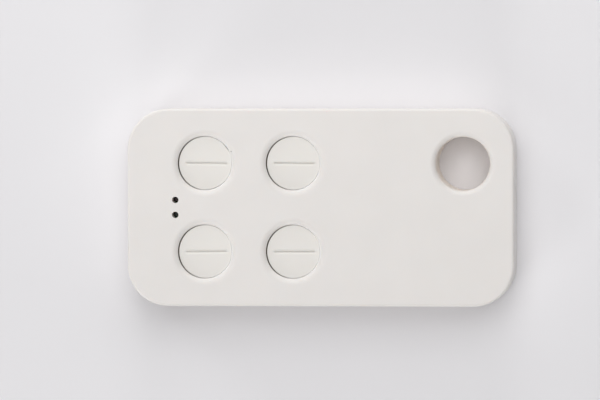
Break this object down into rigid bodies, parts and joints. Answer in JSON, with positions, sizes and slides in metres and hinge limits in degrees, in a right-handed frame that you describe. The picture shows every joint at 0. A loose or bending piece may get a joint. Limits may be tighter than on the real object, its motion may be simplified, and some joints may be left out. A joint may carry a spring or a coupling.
{
  "type": "keyring remote control",
  "caption": "Flat rounded keyring remote with round push buttons in a square, two pinhole indicators and a keyring hole through one corner.",
  "frame": {"origin": "centre of the flat rear face, at the bottom of the box round the part", "axes": "+X along the length towards the keyring end, +Y towards the long side by the keyring hole, +Z out of the face with the buttons"},
  "size_m": [0.0762, 0.0388, 0.0105],
  "materials": {
    "cover_plastic": "fine satin moulded off-white plastic",
    "cap_plastic": "satin moulded plastic, a little warmer than the covers",
    "board_laminate": "green solder mask",
    "cell_steel": "nickel-plated steel",
    "clip_steel": "nickel-plated spring strip",
    "contact_brass": "gold flash",
    "antenna_metal": "tinned strip",
    "terminal_metal": "tinned leads",
    "chip_plastic": "black moulding compound",
    "crystal_lid": "metal lid on ceramic",
    "capacitor_resin": "orange moulded resin",
    "capacitor_ceramic": "tan ceramic with tinned ends",
    "resistor_ceramic": "black ceramic with tinned ends",
    "screw_steel": "zinc-plated steel",
    "switch_plastic": "black moulded plastic",
    "switch_steel": "bright sheet steel",
    "dome_steel": "spring steel",
    "plunger_plastic": "cream moulded plastic",
    "led_red": "clear red resin",
    "led_green": "clear green resin"
  },
  "bodies": {
    "housing": {"front_cover": "cover_plastic", "rear_cover": "cover_plastic", "circuit_board": "board_laminate", "coin_cell": "cell_steel", "battery_clip": "clip_steel", "battery_contact": "contact_brass", "antenna_loop": "antenna_metal", "switch_terminals": "terminal_metal", "microcontroller": "chip_plastic", "radio_chip": "chip_plastic", "radio_crystal": "crystal_lid", "buffer_capacitor": "capacitor_resin", "chip_capacitors": "capacitor_ceramic", "chip_resistors": "resistor_ceramic", "case_screws": "screw_steel", "indicator_led_red": "led_red", "indicator_led_green": "led_green", "switch_base_upper_left": "switch_plastic", "switch_cover_upper_left": "switch_steel", "switch_dome_upper_left": "dome_steel", "switch_base_upper_right": "switch_plastic", "switch_cover_upper_right": "switch_steel", "switch_dome_upper_right": "dome_steel", "switch_base_lower_left": "switch_plastic", "switch_cover_lower_left": "switch_steel", "switch_dome_lower_left": "dome_steel", "switch_base_lower_right": "switch_plastic", "switch_cover_lower_right": "switch_steel", "switch_dome_lower_right": "dome_steel"},
    "button_upper_left": {"button_upper_left": "cap_plastic"},
    "switch_plunger_upper_left": {"switch_plunger_upper_left": "plunger_plastic"},
    "button_upper_right": {"button_upper_right": "cap_plastic"},
    "switch_plunger_upper_right": {"switch_plunger_upper_right": "plunger_plastic"},
    "button_lower_left": {"button_lower_left": "cap_plastic"},
    "switch_plunger_lower_left": {"switch_plunger_lower_left": "plunger_plastic"},
    "button_lower_right": {"button_lower_right": "cap_plastic"},
    "switch_plunger_lower_right": {"switch_plunger_lower_right": "plunger_plastic"}
  },
  "joints": [
    {"name": "press_upper_left", "type": "slide", "parent": "housing", "child": "button_upper_left", "axis": [0, 0, -1], "range_m": [0, 0.00025], "stiffness_N_per_m": 4000},
    {"name": "plunger_upper_left", "type": "slide", "parent": "housing", "child": "switch_plunger_upper_left", "axis": [0, 0, -1], "range_m": [0, 0.00025], "deforming": ["switch_dome_upper_left"]},
    {"name": "press_upper_right", "type": "slide", "parent": "housing", "child": "button_upper_right", "axis": [0, 0, -1], "range_m": [0, 0.00025], "stiffness_N_per_m": 4000},
    {"name": "plunger_upper_right", "type": "slide", "parent": "housing", "child": "switch_plunger_upper_right", "axis": [0, 0, -1], "range_m": [0, 0.00025], "deforming": ["switch_dome_upper_right"]},
    {"name": "press_lower_left", "type": "slide", "parent": "housing", "child": "button_lower_left", "axis": [0, 0, -1], "range_m": [0, 0.00025], "stiffness_N_per_m": 4000},
    {"name": "plunger_lower_left", "type": "slide", "parent": "housing", "child": "switch_plunger_lower_left", "axis": [0, 0, -1], "range_m": [0, 0.00025], "deforming": ["switch_dome_lower_left"]},
    {"name": "press_lower_right", "type": "slide", "parent": "housing", "child": "button_lower_right", "axis": [0, 0, -1], "range_m": [0, 0.00025], "stiffness_N_per_m": 4000},
    {"name": "plunger_lower_right", "type": "slide", "parent": "housing", "child": "switch_plunger_lower_right", "axis": [0, 0, -1], "range_m": [0, 0.00025], "deforming": ["switch_dome_lower_right"]}
  ],
  "couplings": [
    {"joint": "plunger_upper_left", "follows": "press_upper_left", "ratio": 1},
    {"joint": "plunger_upper_right", "follows": "press_upper_right", "ratio": 1},
    {"joint": "plunger_lower_left", "follows": "press_lower_left", "ratio": 1},
    {"joint": "plunger_lower_right", "follows": "press_lower_right", "ratio": 1}
  ]
}
